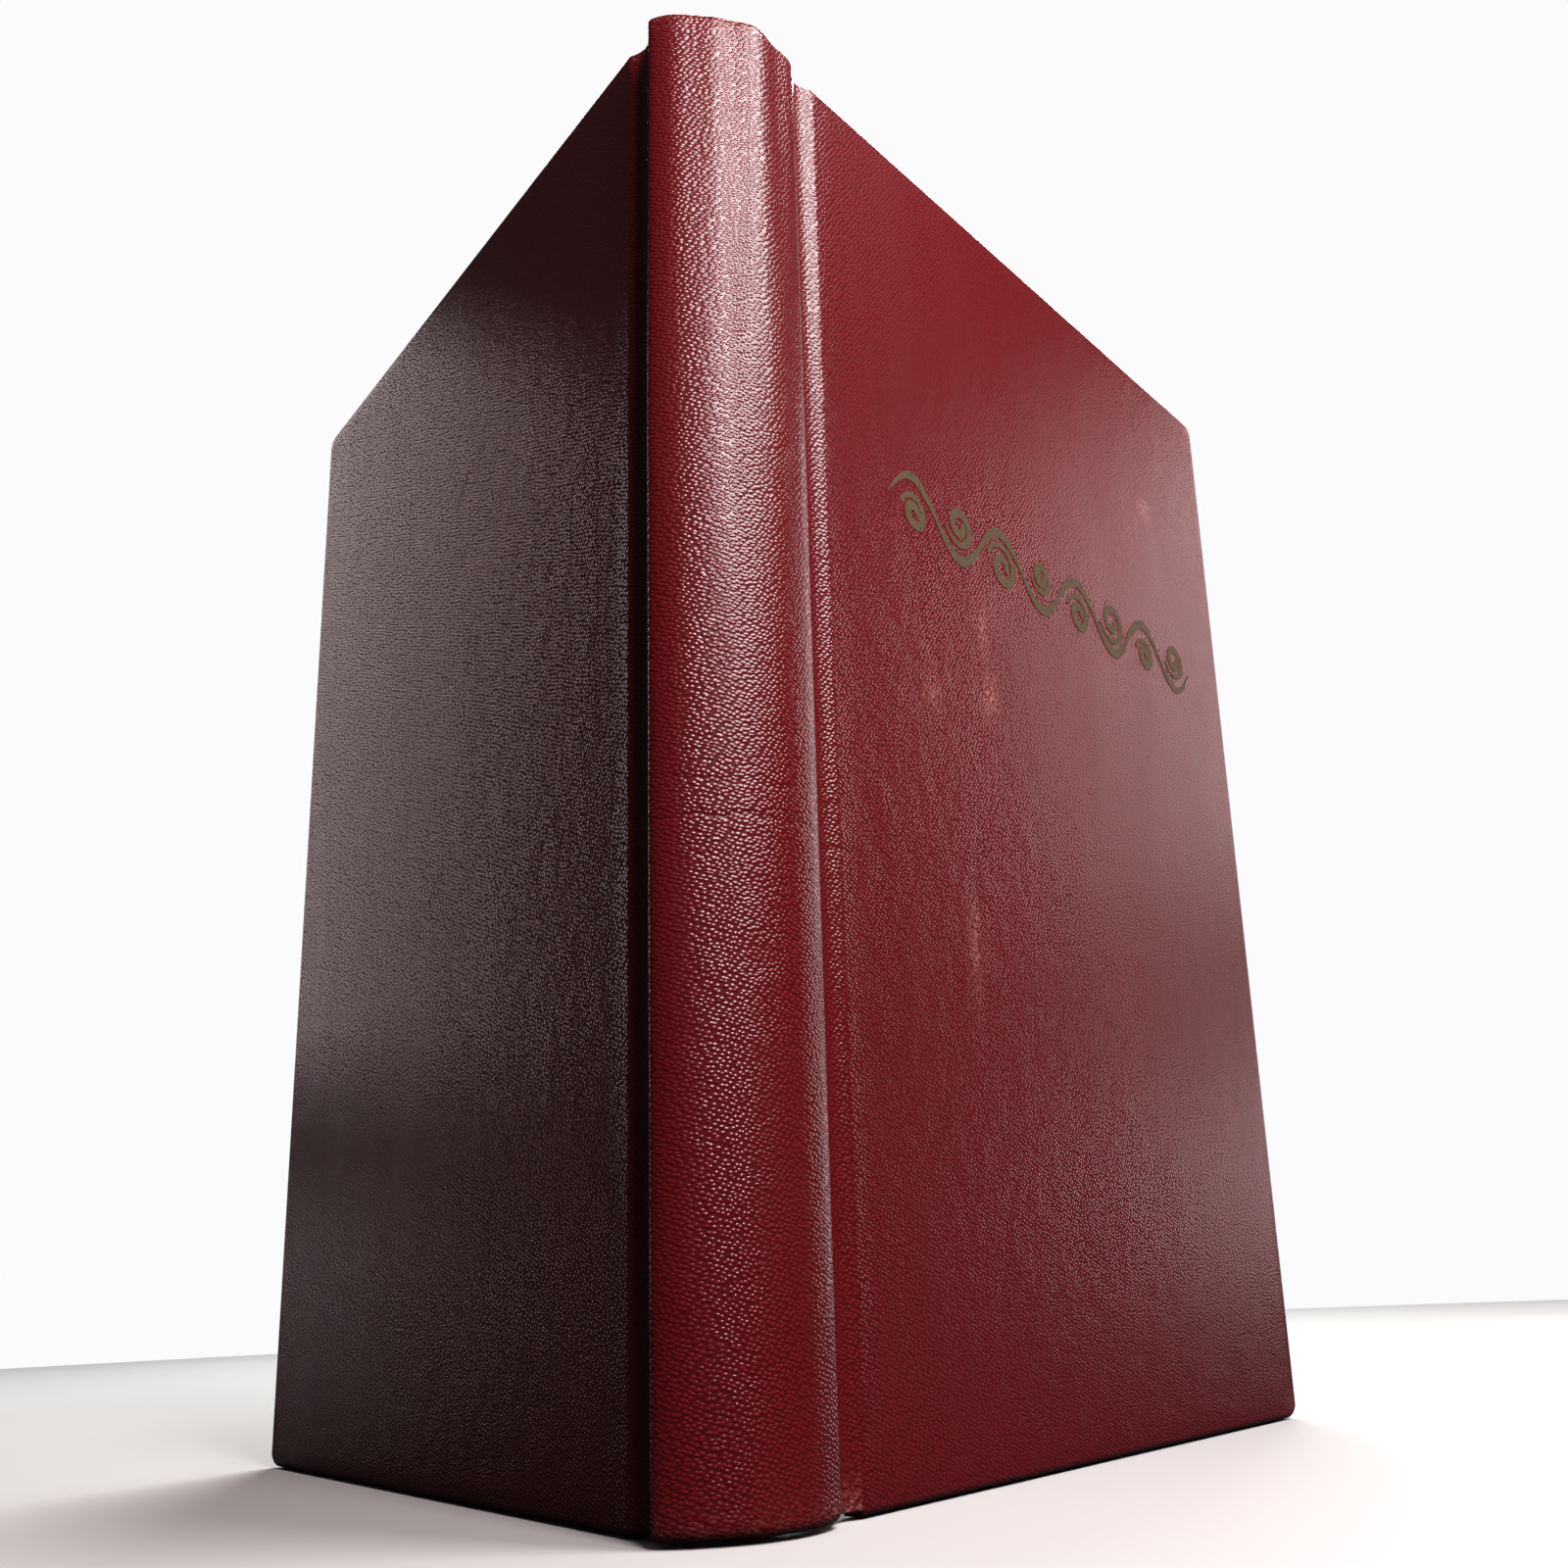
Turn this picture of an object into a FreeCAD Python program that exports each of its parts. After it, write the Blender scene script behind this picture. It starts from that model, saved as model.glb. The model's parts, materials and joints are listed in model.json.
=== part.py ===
import FreeCAD, Part
import math
import os
import Sketcher

# A small case-bound prayer book, standing on the tail edges of its covers.
#
# Every piece is drawn in the closed book's frame: X across the thickness with the front
# cover at +X, Y from the spine into the book with zero on the hinge lines, Z up from the
# tail to the head. The back half repeats the front half, turned half round about Y. The
# placements then open the covers, flyleaves and sections to the standing pose.

Vector = FreeCAD.Vector
Placement = FreeCAD.Placement
Rotation = FreeCAD.Rotation
UP = Vector(0, 0, 1)

DIMENSIONS = {
    # covers
    "cover_height": 165.0,
    "cover_width": 111.5,
    "cover_corner_radius": 2.6,
    "board_thickness": 2.2,
    "board_edge_radius": 0.5,
    "cloth_thickness": 0.4,
    "turn_in_thickness": 0.3,
    "turn_in_width": 15.0,
    "pastedown_thickness": 0.15,
    "square": 3.2,
    "mull_flap_width": 22.0,
    # hinge lines and joints
    "hinge_offset": 7.45,
    "joint_width": 5.8,
    "cover_face_offset": 8.5,
    "joint_sag": 0.8,
    "joint_end_gap": 0.4,
    "endpaper_sag": 0.3,
    "endpaper_fold_gap": 0.8,
    # case spine
    "spine_centre_offset": 6.1,
    "spine_radius": 12.0,
    "spine_half_angle": 47.4,
    "shoulder_radius": 1.0,
    "inlay_thickness": 0.7,
    "inlay_half_angle": 43.0,
    "inlay_end_gap": 0.7,
    "spine_end_gap": 0.3,
    # text block
    "section_count": 10.0,
    "section_pitch": 1.02,
    "section_thickness": 0.88,
    "leaf_width": 116.3,
    "leaf_height": 158.6,
    "fold_radius": 9.5,
    "flyleaf_thickness": 0.15,
    "flyleaf_offset": 5.22,
    "flyleaf_fold_offset": 2.0,
    "flyleaf_fore_margin": 2.2,
    # spine linings, as radii about the spine's centre line
    "thread_inner_radius": 9.65,
    "thread_outer_radius": 9.85,
    "thread_height": 0.5,
    "thread_rows": 4.0,
    "glue_outer_radius": 10.0,
    "mull_outer_radius": 10.15,
    "lining_outer_radius": 10.45,
    "lining_half_angle": 28.0,
    "lining_end_gap": 8.0,
    "headband_centre_radius": 9.3,
    "headband_radius": 0.55,
    "headband_gap": 0.1,
    # gilt scroll on the front cover
    "scroll_thickness": 0.05,
    "scroll_line": 1.1,
    "scroll_radius": 4.3,
    "scroll_arches": 10.0,
    "scroll_from_joint": 13.0,
    "scroll_height": 108.5,
    # standing pose
    "front_opening": 63.7,
    "back_opening": 7.0,
    "block_turn": 28.35,
}

# How far each piece turns for every degree that its cover opens, from the inside out.
SECTION_RATIOS = {1: 0.0, 2: 0.012, 3: 0.03, 4: 0.06, 5: 0.11}
FLYLEAF_RATIO = 0.6

# The angle that the spine's cloth wraps round its shoulder with the cover closed, counted
# from the spine's middle, and how much of it a degree of opening unwraps.
SHOULDER_WRAP_CLOSED = 155.0
SHOULDER_UNWRAP_RATIO = 0.7

document = FreeCAD.newDocument("prayer_book")
sheet = document.addObject("Spreadsheet::Sheet", "Sizes")
for row, (alias, number) in enumerate(DIMENSIONS.items(), start=1):
    sheet.set(f"A{row}", alias)
    sheet.set(f"B{row}", str(number))
    sheet.setAlias(f"B{row}", alias)
document.recompute()

subparts = []


def size(alias):
    return float(sheet.get(alias))


def bind(thing, **expressions):
    for path, expression in expressions.items():
        thing.setExpression(path.replace("__", "."), str(expression))


def origin_plane(body, role):
    return next(plane for plane in body.Origin.OriginFeatures if plane.Role == role)


def new_body(label):
    body = document.addObject("PartDesign::Body", label)
    body.Label = label
    return body


def new_sketch(body, plane):
    sketch = body.newObject("Sketcher::SketchObject", "Outline")
    sketch.AttachmentSupport = [(origin_plane(body, plane), "")]
    sketch.MapMode = "FlatFace"
    return sketch


def offset_sketch(sketch, along, up, out):
    bind(sketch, AttachmentOffset__Base__x=along, AttachmentOffset__Base__y=up,
         AttachmentOffset__Base__z=out)


def draw_rectangle(sketch, width, height):
    """A rectangle from the sketch's origin, held by two sizes."""
    corners = [Vector(0, 0, 0), Vector(10, 0, 0), Vector(10, 10, 0), Vector(0, 10, 0)]
    for index in range(4):
        sketch.addGeometry(Part.LineSegment(corners[index], corners[(index + 1) % 4]))
    for index in range(4):
        joined = Sketcher.Constraint("Coincident", index, 2, (index + 1) % 4, 1)
        sketch.addConstraint(joined)
    for kind, line in (("Horizontal", 0), ("Horizontal", 2), ("Vertical", 1), ("Vertical", 3)):
        sketch.addConstraint(Sketcher.Constraint(kind, line))
    sketch.addConstraint(Sketcher.Constraint("Coincident", 0, 1, -1, 1))
    for name, kind, line, wanted in (("width", "DistanceX", 0, width), ("height", "DistanceY", 1, height)):
        index = sketch.addConstraint(Sketcher.Constraint(kind, line, 1, line, 2, 10.0))
        sketch.renameConstraint(index, name)
        sketch.setExpression(f"Constraints.{name}", str(wanted))


def pad(body, sketch, length):
    feature = body.newObject("PartDesign::Pad", "Pad")
    feature.Profile = sketch
    bind(feature, Length=length)
    document.recompute()
    return feature


def fillet(body, base, edges, radius):
    feature = body.newObject("PartDesign::Fillet", "Fillet")
    feature.Base = (base, edges)
    bind(feature, Radius=radius)
    document.recompute()
    return feature


def edges_where(shape, test):
    return [f"Edge{n}" for n, edge in enumerate(shape.Edges, start=1) if test(edge)]


def slab(label, start, thickness, near, low, width, height):
    """A flat sheet along Y and Z, its thickness across X from the offset start."""
    body = new_body(label)
    sketch = new_sketch(body, "YZ_Plane")
    draw_rectangle(sketch, width, height)
    offset_sketch(sketch, near, low, start)
    pad(body, sketch, thickness)
    return body


def round_fore_corners(body, radius):
    """Rounds a slab's two corners on the side away from the spine."""
    far = body.Shape.BoundBox.YMax

    def on_fore_corner(edge):
        box = edge.BoundBox
        return box.YMin > far - 0.01 and box.ZLength < 0.01

    fillet(body, body.Tip, edges_where(body.Shape, on_fore_corner), radius)


def round_outer_rim(body, radius):
    """Rounds the rim of a slab's outer face, along the head, the tail and the fore edge."""
    box = body.Shape.BoundBox

    def on_outer_rim(edge):
        rim = edge.BoundBox
        return rim.XMin > box.XMax - 0.01 and rim.YMax > box.YMin + 0.01

    fillet(body, body.Tip, edges_where(body.Shape, on_outer_rim), radius)


def leaves(label, thickness, reach):
    """Folded leaves that reach from their fold's axis to the fore edge, in one slab."""
    body = new_body(label)
    sketch = new_sketch(body, "XY_Plane")
    fold = Part.Circle(Vector(0, 0, 0), UP, 1.0)
    sketch.addGeometry(Part.ArcOfCircle(fold, math.pi, 2 * math.pi))
    sketch.addGeometry(Part.LineSegment(Vector(1, 0, 0), Vector(1, 10, 0)))
    sketch.addGeometry(Part.LineSegment(Vector(1, 10, 0), Vector(-1, 10, 0)))
    sketch.addGeometry(Part.LineSegment(Vector(-1, 10, 0), Vector(-1, 0, 0)))
    sketch.addConstraint(Sketcher.Constraint("Coincident", 0, 3, -1, 1))
    sketch.addConstraint(Sketcher.Constraint("Tangent", 0, 2, 1, 1))
    sketch.addConstraint(Sketcher.Constraint("Coincident", 1, 2, 2, 1))
    sketch.addConstraint(Sketcher.Constraint("Coincident", 2, 2, 3, 1))
    sketch.addConstraint(Sketcher.Constraint("Tangent", 3, 2, 0, 1))
    sketch.addConstraint(Sketcher.Constraint("Vertical", 1))
    sketch.addConstraint(Sketcher.Constraint("Vertical", 3))
    sketch.addConstraint(Sketcher.Constraint("Horizontal", 2))
    radius = sketch.addConstraint(Sketcher.Constraint("Radius", 0, 1.0))
    sketch.renameConstraint(radius, "fold")
    sketch.setExpression("Constraints.fold", f"{thickness} / 2")
    length = sketch.addConstraint(Sketcher.Constraint("DistanceY", 1, 1, 1, 2, 10.0))
    sketch.renameConstraint(length, "reach")
    sketch.setExpression("Constraints.reach", reach)
    pad(body, sketch, "Sizes.leaf_height")
    return body


def arc_band(label, inner, outer, half_angle, low, height):
    """A band bent round the Z axis, its middle on +X."""
    body = new_body(label)
    sketch = new_sketch(body, "XZ_Plane")
    draw_rectangle(sketch, f"{outer} - ({inner})", height)
    offset_sketch(sketch, inner, low, 0)
    feature = body.newObject("PartDesign::Revolution", "Revolution")
    feature.Profile = sketch
    feature.ReferenceAxis = (origin_plane(body, "Z_Axis"), [""])
    feature.Midplane = True
    bind(feature, Angle=f"2 * ({half_angle})")
    document.recompute()
    return body


def bead(label, centre_radius, radius, half_angle, level):
    """A round bead bent round the Z axis, its middle on +X."""
    body = new_body(label)
    sketch = new_sketch(body, "XZ_Plane")
    sketch.addGeometry(Part.Circle(Vector(0, 0, 0), UP, 1.0))
    sketch.addConstraint(Sketcher.Constraint("Coincident", 0, 3, -1, 1))
    index = sketch.addConstraint(Sketcher.Constraint("Radius", 0, 1.0))
    sketch.renameConstraint(index, "bead")
    sketch.setExpression("Constraints.bead", radius)
    offset_sketch(sketch, centre_radius, level, 0)
    feature = body.newObject("PartDesign::Revolution", "Revolution")
    feature.Profile = sketch
    feature.ReferenceAxis = (origin_plane(body, "Z_Axis"), [""])
    feature.Midplane = True
    bind(feature, Angle=f"2 * ({half_angle})")
    document.recompute()
    return body


def cut(label, base, *tools):
    """The base with the tools taken away."""
    result = base
    for number, tool in enumerate(tools, start=1):
        last = number == len(tools)
        feature = document.addObject("Part::Cut", label if last else f"{label}_step")
        feature.Base = result
        feature.Tool = tool
        result = feature
    result.Label = label
    document.recompute()
    return result


def fuse(label, *pieces):
    feature = document.addObject("Part::MultiFuse", label)
    feature.Shapes = list(pieces)
    feature.Refine = True
    feature.Label = label
    document.recompute()
    return feature


def turn(point, degrees):
    """A turn about the upright line through a point."""
    return Placement(Vector(0, 0, 0), Rotation(UP, degrees), point)


def facing(direction, centre):
    """Carries a band's middle from +X to a direction counted from -Y towards +X."""
    return Placement(centre, Rotation(UP, direction - 90))


def direction_of(vector):
    """The angle of a vector, counted from -Y towards +X."""
    return math.degrees(math.atan2(vector.y, vector.x)) + 90


def add(piece, placement):
    subparts.append((piece, placement))


# ---------------------------------------------------------------- where things are

BLOCK = Placement(Vector(0, 0, 0), Rotation(UP, size("block_turn")))
FRONT = Placement()
BACK = Placement(Vector(0, 0, size("cover_height")), Rotation(Vector(0, 1, 0), 180))
SIDES = {
    "front": (FRONT, size("front_opening")),
    "back": (BACK, size("back_opening")),
}
HINGE = Vector(size("hinge_offset"), 0, 0)
SPINE_CENTRE = Vector(0, size("spine_centre_offset"), 0)
LEAF_LOW = (size("cover_height") - size("leaf_height")) / 2


def fold_axis(place):
    """The axis of a section's fold; place counts sections out from the middle."""
    across = (place - 0.5) * size("section_pitch")
    tip = SPINE_CENTRE.y - math.sqrt(size("fold_radius") ** 2 - across ** 2)
    return Vector(across, tip + size("section_thickness") / 2, LEAF_LOW)


def section_placement(place, opening):
    axis = fold_axis(place)
    return turn(axis, -SECTION_RATIOS[place] * opening)


def flyleaf_axis():
    return Vector(size("flyleaf_offset"), size("flyleaf_fold_offset"), LEAF_LOW)


def flyleaf_placement(opening):
    """The flyleaf turns on the outermost section, which turns under it."""
    own_ratio = FLYLEAF_RATIO - SECTION_RATIOS[5]
    return section_placement(5, opening) * turn(flyleaf_axis(), -own_ratio * opening)


# ---------------------------------------------------------------- covers

BOARD_INNER = "Sizes.cover_face_offset - Sizes.cloth_thickness - Sizes.board_thickness"
TURN_IN_INNER = f"{BOARD_INNER} - Sizes.turn_in_thickness"
WINDOW_LOW = "Sizes.cloth_thickness + Sizes.turn_in_width"
WINDOW_HEIGHT = f"Sizes.cover_height - 2 * ({WINDOW_LOW})"
WINDOW_WIDTH = f"Sizes.cover_width - ({WINDOW_LOW})"


def board(label):
    """Stiff board, with its fore corners and its outer rim rounded."""
    body = slab(label, BOARD_INNER, "Sizes.board_thickness", "Sizes.joint_width",
                "Sizes.cloth_thickness", "Sizes.cover_width - Sizes.cloth_thickness",
                "Sizes.cover_height - 2 * Sizes.cloth_thickness")
    round_fore_corners(body, "Sizes.cover_corner_radius - Sizes.cloth_thickness")
    round_outer_rim(body, "Sizes.board_edge_radius")
    return body


def cover_cloth(label):
    """Cloth over the board's outer face, round three edges and turned in behind."""
    skin = slab(f"{label}_skin", TURN_IN_INNER,
                "Sizes.cloth_thickness + Sizes.board_thickness + Sizes.turn_in_thickness",
                "Sizes.joint_width", "0", "Sizes.cover_width", "Sizes.cover_height")
    round_fore_corners(skin, "Sizes.cover_corner_radius")
    round_outer_rim(skin, "Sizes.board_edge_radius + Sizes.cloth_thickness")
    window = slab(f"{label}_window", TURN_IN_INNER, "Sizes.turn_in_thickness",
                  "Sizes.joint_width", WINDOW_LOW, WINDOW_WIDTH, WINDOW_HEIGHT)
    return cut(label, skin, board(f"{label}_board_space"), window)


def mull_flap(label):
    """The open-weave cloth of the spine, glued down on the board beside the joint."""
    return slab(label, TURN_IN_INNER, "Sizes.turn_in_thickness", "Sizes.joint_width",
                WINDOW_LOW, "Sizes.mull_flap_width", WINDOW_HEIGHT)


def infill(label):
    """Paper that fills the board's inner face level with the turn-ins."""
    return slab(label, TURN_IN_INNER, "Sizes.turn_in_thickness",
                "Sizes.joint_width + Sizes.mull_flap_width", WINDOW_LOW,
                f"{WINDOW_WIDTH} - Sizes.mull_flap_width", WINDOW_HEIGHT)


def pastedown(label):
    """The half of the endpaper that is glued to the board."""
    return slab(label, f"{TURN_IN_INNER} - Sizes.pastedown_thickness",
                "Sizes.pastedown_thickness", "Sizes.joint_width", "Sizes.square",
                "Sizes.cover_width - Sizes.square", "Sizes.cover_height - 2 * Sizes.square")


def scroll():
    """A running wave of half rings, stamped in gilt on the front cover."""
    radius = size("scroll_radius")
    line = size("scroll_line")
    start = size("joint_width") + size("scroll_from_joint")
    rings = []
    for arch in range(int(size("scroll_arches"))):
        centre = Vector(size("cover_face_offset"), start + (2 * arch + 1) * radius,
                        size("scroll_height") + radius)
        thickness = size("scroll_thickness")
        outer = Part.makeCylinder(radius + line / 2, thickness, centre, Vector(1, 0, 0))
        inner = Part.makeCylinder(radius - line / 2, thickness, centre, Vector(1, 0, 0))
        half = Part.makeBox(thickness, 4 * radius, 2 * radius)
        half.translate(centre - Vector(0, 2 * radius, 2 * radius * (arch % 2)))
        rings.append(outer.cut(inner).common(half))
    piece = document.addObject("Part::Feature", "front_scroll")
    piece.Shape = rings[0].multiFuse(rings[1:]).removeSplitter()
    return piece


# ---------------------------------------------------------------- joints

def shoulder_end(opening):
    """Where the spine's cloth leaves the shoulder: sooner when the cover is open."""
    return SHOULDER_WRAP_CLOSED - SHOULDER_UNWRAP_RATIO * opening


def cover_point(opening, along, inward):
    """A point of the opened cover, along it from the hinge and in from its outer face."""
    closed = Vector(size("cover_face_offset") - inward, along, 0)
    return turn(HINGE, -opening).multVec(closed)


def shoulder_centre():
    reach = size("spine_radius") - size("shoulder_radius")
    angle = math.radians(size("spine_half_angle"))
    return SPINE_CENTRE + Vector(reach * math.sin(angle), -reach * math.cos(angle), 0)


def shoulder_point(opening):
    angle = math.radians(shoulder_end(opening))
    return shoulder_centre() + Vector(math.sin(angle), -math.cos(angle), 0) * size("shoulder_radius")


def strip_between(label, start, end, sag, thickness, low, height):
    """A thin strip that sags to the left of the way from start to end."""
    chord = end - start
    left = UP.cross(chord).normalize()
    radius = (chord.Length ** 2 / 4 + sag ** 2) / (2 * sag)
    centre = (start + end) / 2 - left * (radius - sag)
    half_angle = math.degrees(math.asin((chord.Length / 2 - size("joint_end_gap")) / radius))
    band = arc_band(label, radius, radius + thickness, half_angle, low, height)
    return band, facing(direction_of(left), centre)


def joint_cloth(label, opening):
    """The bare cloth of the French groove, between the spine's shoulder and the board."""
    return strip_between(
        label, shoulder_point(opening), cover_point(opening, size("joint_width"), 0.0),
        size("joint_sag"), size("cloth_thickness"), size("spine_end_gap"),
        size("cover_height") - 2 * size("spine_end_gap"))


def endpaper_joint(label, opening):
    """The endpaper where it crosses from the pastedown to the flyleaf's fold."""
    depth = (size("cloth_thickness") + size("board_thickness") + size("turn_in_thickness")
             + size("pastedown_thickness"))
    glued = cover_point(opening, size("joint_width"), depth)
    fold = section_placement(5, opening).multVec(flyleaf_axis())
    fold.z = 0
    near_fold = fold + (glued - fold).normalize() * size("endpaper_fold_gap")
    return strip_between(
        label, glued, near_fold, size("endpaper_sag"), size("pastedown_thickness"),
        size("square"), size("cover_height") - 2 * size("square"))


# ---------------------------------------------------------------- build: both halves

for side, (half, opening) in SIDES.items():
    on_cover = half * turn(HINGE, -opening)
    add(board(f"{side}_board"), on_cover)
    add(cover_cloth(f"{side}_cover_cloth"), on_cover)
    add(mull_flap(f"{side}_mull_flap"), on_cover)
    add(infill(f"{side}_infill"), on_cover)
    add(pastedown(f"{side}_pastedown"), on_cover)
    strip, placement = joint_cloth(f"{side}_joint_cloth", opening)
    add(strip, half * placement)
    paper, placement = endpaper_joint(f"{side}_endpaper_joint", opening)
    add(paper, half * placement)
    flyleaf_reach = "Sizes.leaf_width - Sizes.flyleaf_fold_offset - Sizes.flyleaf_fore_margin"
    flyleaf = leaves(f"{side}_flyleaf", "Sizes.flyleaf_thickness", flyleaf_reach)
    add(flyleaf, half * flyleaf_placement(opening) * Placement(flyleaf_axis(), Rotation()))
    for place in range(1, int(size("section_count") / 2) + 1):
        number = 5 + place if side == "front" else 6 - place
        section = leaves(f"section_{number:02d}", "Sizes.section_thickness",
                         "Sizes.leaf_width - Sizes.section_thickness / 2")
        lie = section_placement(place, opening) * Placement(fold_axis(place), Rotation())
        add(section, half * lie)

add(scroll(), turn(HINGE, -size("front_opening")))

# ---------------------------------------------------------------- build: spine

SPINE_HEIGHT = "Sizes.cover_height - 2 * Sizes.spine_end_gap"
LINING_HEIGHT = "Sizes.leaf_height - 2 * Sizes.lining_end_gap"
LINING_LOW = "(Sizes.cover_height - Sizes.leaf_height) / 2 + Sizes.lining_end_gap"
BANDS = {
    "spine_inlay": ("Sizes.spine_radius - Sizes.cloth_thickness - Sizes.inlay_thickness",
                    "Sizes.spine_radius - Sizes.cloth_thickness", "Sizes.inlay_half_angle",
                    "Sizes.inlay_end_gap", "Sizes.cover_height - 2 * Sizes.inlay_end_gap"),
    "spine_glue": ("Sizes.thread_outer_radius", "Sizes.glue_outer_radius",
                   "Sizes.lining_half_angle", LINING_LOW, LINING_HEIGHT),
    "mull": ("Sizes.glue_outer_radius", "Sizes.mull_outer_radius",
             "Sizes.lining_half_angle", LINING_LOW, LINING_HEIGHT),
    "spine_lining": ("Sizes.mull_outer_radius", "Sizes.lining_outer_radius",
                     "Sizes.lining_half_angle", LINING_LOW, LINING_HEIGHT),
}
for label, (inner, outer, half_angle, low, height) in BANDS.items():
    add(arc_band(label, inner, outer, half_angle, low, height), facing(0, SPINE_CENTRE))

main = arc_band("spine_cloth_back", "Sizes.spine_radius - Sizes.cloth_thickness",
                "Sizes.spine_radius", "Sizes.spine_half_angle", "Sizes.spine_end_gap",
                SPINE_HEIGHT)
main.Placement = facing(0, SPINE_CENTRE)
turned = [main]
for side, (half, opening) in SIDES.items():
    sweep = (shoulder_end(opening) - size("spine_half_angle")) / 2
    shoulder = arc_band(f"spine_cloth_{side}_shoulder",
                        "Sizes.shoulder_radius - Sizes.cloth_thickness",
                        "Sizes.shoulder_radius", str(sweep), "Sizes.spine_end_gap",
                        SPINE_HEIGHT)
    shoulder.Placement = half * facing(size("spine_half_angle") + sweep, shoulder_centre())
    turned.append(shoulder)
add(fuse("spine_cloth", *turned), Placement())

thread_rows = int(size("thread_rows"))
for number in range(1, thread_rows + 1):
    level = LEAF_LOW + size("leaf_height") * (number - 0.5) / thread_rows
    row = arc_band(f"sewing_thread_{number}", "Sizes.thread_inner_radius",
                   "Sizes.thread_outer_radius", "Sizes.lining_half_angle", str(level),
                   "Sizes.thread_height")
    add(row, facing(0, SPINE_CENTRE))

band_gap = size("headband_radius") + size("headband_gap")
for label, level in (("headband", LEAF_LOW + size("leaf_height") + band_gap),
                     ("tailband", LEAF_LOW - band_gap)):
    band = bead(label, "Sizes.headband_centre_radius", "Sizes.headband_radius",
                "Sizes.lining_half_angle", str(level))
    add(band, facing(0, SPINE_CENTRE))

# ---------------------------------------------------------------- standing pose

for piece, placement in subparts:
    piece.Placement = BLOCK * placement
document.recompute()

whole = FreeCAD.BoundBox()
for piece, _ in subparts:
    whole.add(piece.Shape.optimalBoundingBox(False, False))
to_origin = Placement(Vector(-whole.Center.x, -whole.Center.y, -whole.ZMin), Rotation())
for piece, placement in subparts:
    piece.Placement = to_origin * BLOCK * placement
document.recompute()

# ---------------------------------------------------------------- check and write

for thing in document.Objects:
    if "Invalid" in thing.State or "Error" in thing.State:
        raise RuntimeError(f"{thing.Label} failed: {thing.State}")
for piece, _ in subparts:
    if piece.Shape.isNull() or not piece.Shape.isValid() or piece.Shape.Volume <= 0:
        raise RuntimeError(f"{piece.Label} has no valid solid")

os.makedirs("parts", exist_ok=True)
for piece, _ in subparts:
    piece.Shape.exportStep(f"parts/{piece.Label}.step")

for side, (half, opening) in SIDES.items():
    axes = {"cover": HINGE}
    axes["flyleaf"] = section_placement(5, opening).multVec(flyleaf_axis())
    for place in (2, 3, 4, 5):
        axes[f"place_{place}"] = fold_axis(place)
    for name, point in axes.items():
        at = (to_origin * BLOCK * half).multVec(point)
        print(f"axis {side} {name} {at.x:.4f} {at.y:.4f}")
print(f"box {whole.XLength:.3f} {whole.YLength:.3f} {whole.ZLength:.3f}")
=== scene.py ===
import json
import math
import random

import bmesh
import bpy
from mathutils import Euler, Matrix, Vector


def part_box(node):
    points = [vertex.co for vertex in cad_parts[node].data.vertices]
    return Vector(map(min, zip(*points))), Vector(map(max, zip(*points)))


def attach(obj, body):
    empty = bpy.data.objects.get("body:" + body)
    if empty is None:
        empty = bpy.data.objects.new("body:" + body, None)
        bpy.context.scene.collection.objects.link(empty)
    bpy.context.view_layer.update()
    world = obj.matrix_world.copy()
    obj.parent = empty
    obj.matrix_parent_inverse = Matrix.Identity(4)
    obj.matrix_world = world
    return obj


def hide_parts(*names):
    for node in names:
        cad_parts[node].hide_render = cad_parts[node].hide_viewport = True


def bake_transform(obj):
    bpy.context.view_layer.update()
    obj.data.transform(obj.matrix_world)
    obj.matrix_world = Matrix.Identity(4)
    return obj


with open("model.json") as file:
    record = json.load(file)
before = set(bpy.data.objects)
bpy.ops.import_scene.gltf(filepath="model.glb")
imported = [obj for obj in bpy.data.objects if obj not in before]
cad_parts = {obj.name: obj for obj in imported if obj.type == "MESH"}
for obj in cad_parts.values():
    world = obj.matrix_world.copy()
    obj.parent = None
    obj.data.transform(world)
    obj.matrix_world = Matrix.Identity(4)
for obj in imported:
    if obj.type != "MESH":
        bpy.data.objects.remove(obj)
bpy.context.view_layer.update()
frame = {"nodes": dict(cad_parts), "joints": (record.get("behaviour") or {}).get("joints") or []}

# A small case-bound prayer book, standing on its tail edges with the covers in a V.
# The pieces are drawn in the block's frame: X across the thickness with the front cover at
# +X, Y from the spine into the book with zero on the hinge lines, Z up from tail to head.

MM = 0.001
UP = Vector((0, 0, 1))
random.seed(7)
bpy.ops.object.select_all(action="DESELECT")

# ------------------------------------------------------------------ sizes, in metres

JOINTS = {joint["name"]: joint for joint in frame["joints"]}
COVER_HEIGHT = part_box("front_cover_cloth")[1].z
JOINT_WIDTH = 5.8 * MM
COVER_WIDTH = 111.5 * MM
COVER_FACE = 8.5 * MM
COVER_THICKNESS = 2.9 * MM
CORNER_RADIUS = 2.6 * MM
COVER_RIM = 0.9 * MM
SPINE_RADIUS = 12.0 * MM
SPINE_CENTRE = 6.1 * MM
SPINE_HALF_ANGLE = math.radians(47.4)
SHOULDER_RADIUS = 1.0 * MM
SPINE_THICKNESS = 1.5 * MM
SPINE_RIM = 1.15 * MM
JOINT_RIM = 0.22 * MM
JOINT_THICKNESS = 0.5 * MM
SHOULDER_WRAP_CLOSED = math.radians(155.0)
SHOULDER_UNWRAP_RATIO = 0.7
TURN_IN = 15.0 * MM
INLAY_RADIUS = 10.95 * MM
INLAY_THICKNESS = 0.2 * MM
INLAY_HALF_ANGLE = math.radians(43)
PASTEDOWN_DEPTH = 3.05 * MM
ENDPAPER_THICKNESS = 0.15 * MM
ENDPAPER_FOLD_GAP = 1.8 * MM
ENDPAPER_SAG = 0.3 * MM
GROOVE_DEPTH = 1.05 * MM
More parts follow.
